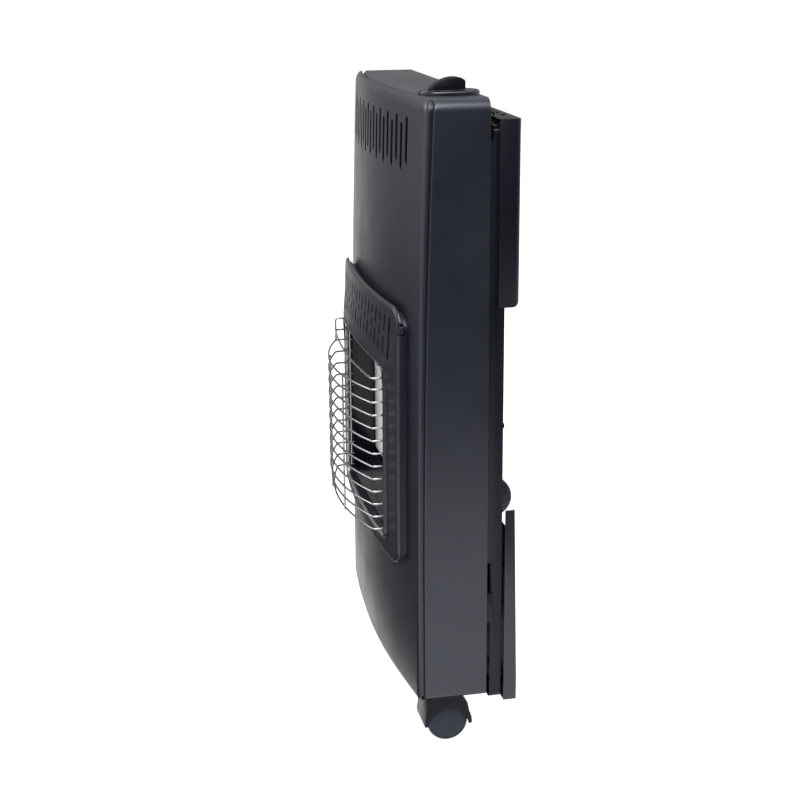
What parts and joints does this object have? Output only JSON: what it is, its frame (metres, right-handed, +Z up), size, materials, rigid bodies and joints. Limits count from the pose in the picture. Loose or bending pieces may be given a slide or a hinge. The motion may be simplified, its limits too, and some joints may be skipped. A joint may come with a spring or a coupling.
{
  "type": "portable gas heater",
  "caption": "Upright radiant gas heater on swivel casters with bowed front, wire guard, ceramic burners, folding rear hood and folding cylinder tray.",
  "frame": {"origin": "on the floor, below the middle of the overall box", "axes": "+Z up, front towards -Y, +X to the side that holds the knob"},
  "size_m": [0.42, 0.1942, 0.799],
  "materials": {
    "charcoal_powder_coat": "satin, finely textured powder coat",
    "dark_powder_coat": "satin powder coat",
    "black_enamel": "gloss black enamel",
    "guard_chrome": "polished",
    "plaque_ceramic": "matt, pierced",
    "bare_steel": "plain sheet",
    "zinc_steel": "zinc plated",
    "gas_brass": "machined",
    "black_plastic": "matt moulded",
    "bezel_plastic": "satin rim",
    "wheel_plastic": "smooth moulded"
  },
  "bodies": {
    "cabinet": {"cabinet_shell": "charcoal_powder_coat", "front_panel": "charcoal_powder_coat", "base_plate": "dark_powder_coat", "heat_shield": "bare_steel", "back_frame": "dark_powder_coat", "frame_cross_bars": "dark_powder_coat", "upper_back_panel": "dark_powder_coat", "lower_back_panel": "dark_powder_coat", "back_panel_screws": "dark_powder_coat", "burner_surround": "charcoal_powder_coat", "wire_guard": "guard_chrome", "reflector": "black_enamel", "ceramic_plaques": "plaque_ceramic", "burner_left": "bare_steel", "burner_middle": "bare_steel", "burner_right": "bare_steel", "gas_manifold": "gas_brass", "injectors": "gas_brass", "supply_pipe": "gas_brass", "valve_bracket": "zinc_steel", "gas_valve_body": "gas_brass", "spindle_spring": "zinc_steel", "knob_bezel": "bezel_plastic", "inlet_nozzle": "gas_brass", "inlet_pipe": "gas_brass", "pilot_burner": "bare_steel", "thermocouple": "gas_brass", "ignition_electrode": "plaque_ceramic", "piezo_igniter": "black_plastic", "tray_hinge_brackets": "dark_powder_coat", "hood_hinge_pins": "zinc_steel", "tray_hinge_pins": "zinc_steel", "front_left_caster_stem": "zinc_steel", "front_right_caster_stem": "zinc_steel"},
    "hood": {"rear_hood": "dark_powder_coat"},
    "tray": {"base_tray": "charcoal_powder_coat", "caster_crossbar": "dark_powder_coat", "rear_left_caster_stem": "zinc_steel", "rear_right_caster_stem": "zinc_steel"},
    "tap": {"valve_rotor": "gas_brass"},
    "knob": {"valve_spindle": "zinc_steel", "control_knob": "black_plastic"},
    "front_left_swivel": {"front_left_caster_hood": "black_plastic", "front_left_caster_axle": "zinc_steel"},
    "front_left_outer_wheel": {"front_left_caster_outer_wheel": "wheel_plastic"},
    "front_left_inner_wheel": {"front_left_caster_inner_wheel": "wheel_plastic"},
    "front_right_swivel": {"front_right_caster_hood": "black_plastic", "front_right_caster_axle": "zinc_steel"},
    "front_right_outer_wheel": {"front_right_caster_outer_wheel": "wheel_plastic"},
    "front_right_inner_wheel": {"front_right_caster_inner_wheel": "wheel_plastic"},
    "rear_left_swivel": {"rear_left_caster_hood": "black_plastic", "rear_left_caster_axle": "zinc_steel"},
    "rear_left_outer_wheel": {"rear_left_caster_outer_wheel": "wheel_plastic"},
    "rear_left_inner_wheel": {"rear_left_caster_inner_wheel": "wheel_plastic"},
    "rear_right_swivel": {"rear_right_caster_hood": "black_plastic", "rear_right_caster_axle": "zinc_steel"},
    "rear_right_outer_wheel": {"rear_right_caster_outer_wheel": "wheel_plastic"},
    "rear_right_inner_wheel": {"rear_right_caster_inner_wheel": "wheel_plastic"}
  },
  "joints": [
    {"name": "hood_hinge", "type": "hinge", "parent": "cabinet", "child": "hood", "pos_m": [0, 0.06665, 0.757], "axis": [1, 0, 0], "range_deg": [0, 90]},
    {"name": "tray_hinge", "type": "hinge", "parent": "cabinet", "child": "tray", "pos_m": [0, 0.05515, 0.042], "axis": [-1, 0, 0], "range_deg": [0, 90]},
    {"name": "knob_turn", "type": "hinge", "parent": "cabinet", "child": "tap", "pos_m": [0.15, 0.01985, 0.74], "axis": [0, 0, -1], "range_deg": [0, 225]},
    {"name": "knob_push", "type": "slide", "parent": "tap", "child": "knob", "axis": [0, 0, -1], "range_m": [0, 0.004], "stiffness_N_per_m": 900, "springref_m": -0.003, "deforming": ["spindle_spring"]},
    {"name": "front_left_swivel_turn", "type": "hinge", "parent": "cabinet", "child": "front_left_swivel", "pos_m": [-0.176, -0.0035, 0.04], "axis": [0, 0, 1], "continuous": true},
    {"name": "front_left_outer_wheel_spin", "type": "hinge", "parent": "front_left_swivel", "child": "front_left_outer_wheel", "pos_m": [-0.176, 0.0105, 0.025], "axis": [1, 0, 0], "continuous": true},
    {"name": "front_left_inner_wheel_spin", "type": "hinge", "parent": "front_left_swivel", "child": "front_left_inner_wheel", "pos_m": [-0.176, 0.0105, 0.025], "axis": [1, 0, 0], "continuous": true},
    {"name": "front_right_swivel_turn", "type": "hinge", "parent": "cabinet", "child": "front_right_swivel", "pos_m": [0.176, -0.0035, 0.04], "axis": [0, 0, 1], "continuous": true},
    {"name": "front_right_outer_wheel_spin", "type": "hinge", "parent": "front_right_swivel", "child": "front_right_outer_wheel", "pos_m": [0.176, 0.0105, 0.025], "axis": [1, 0, 0], "continuous": true},
    {"name": "front_right_inner_wheel_spin", "type": "hinge", "parent": "front_right_swivel", "child": "front_right_inner_wheel", "pos_m": [0.176, 0.0105, 0.025], "axis": [1, 0, 0], "continuous": true},
    {"name": "rear_left_swivel_turn", "type": "hinge", "parent": "tray", "child": "rear_left_swivel", "pos_m": [-0.146, 0.05215, 0.315], "axis": [0, 1, 0], "continuous": true},
    {"name": "rear_left_outer_wheel_spin", "type": "hinge", "parent": "rear_left_swivel", "child": "rear_left_outer_wheel", "pos_m": [-0.146, 0.07215, 0.301], "axis": [1, 0, 0], "continuous": true},
    {"name": "rear_left_inner_wheel_spin", "type": "hinge", "parent": "rear_left_swivel", "child": "rear_left_inner_wheel", "pos_m": [-0.146, 0.07215, 0.301], "axis": [1, 0, 0], "continuous": true},
    {"name": "rear_right_swivel_turn", "type": "hinge", "parent": "tray", "child": "rear_right_swivel", "pos_m": [0.146, 0.05215, 0.315], "axis": [0, 1, 0], "continuous": true},
    {"name": "rear_right_outer_wheel_spin", "type": "hinge", "parent": "rear_right_swivel", "child": "rear_right_outer_wheel", "pos_m": [0.146, 0.07215, 0.301], "axis": [1, 0, 0], "continuous": true},
    {"name": "rear_right_inner_wheel_spin", "type": "hinge", "parent": "rear_right_swivel", "child": "rear_right_inner_wheel", "pos_m": [0.146, 0.07215, 0.301], "axis": [1, 0, 0], "continuous": true}
  ]
}
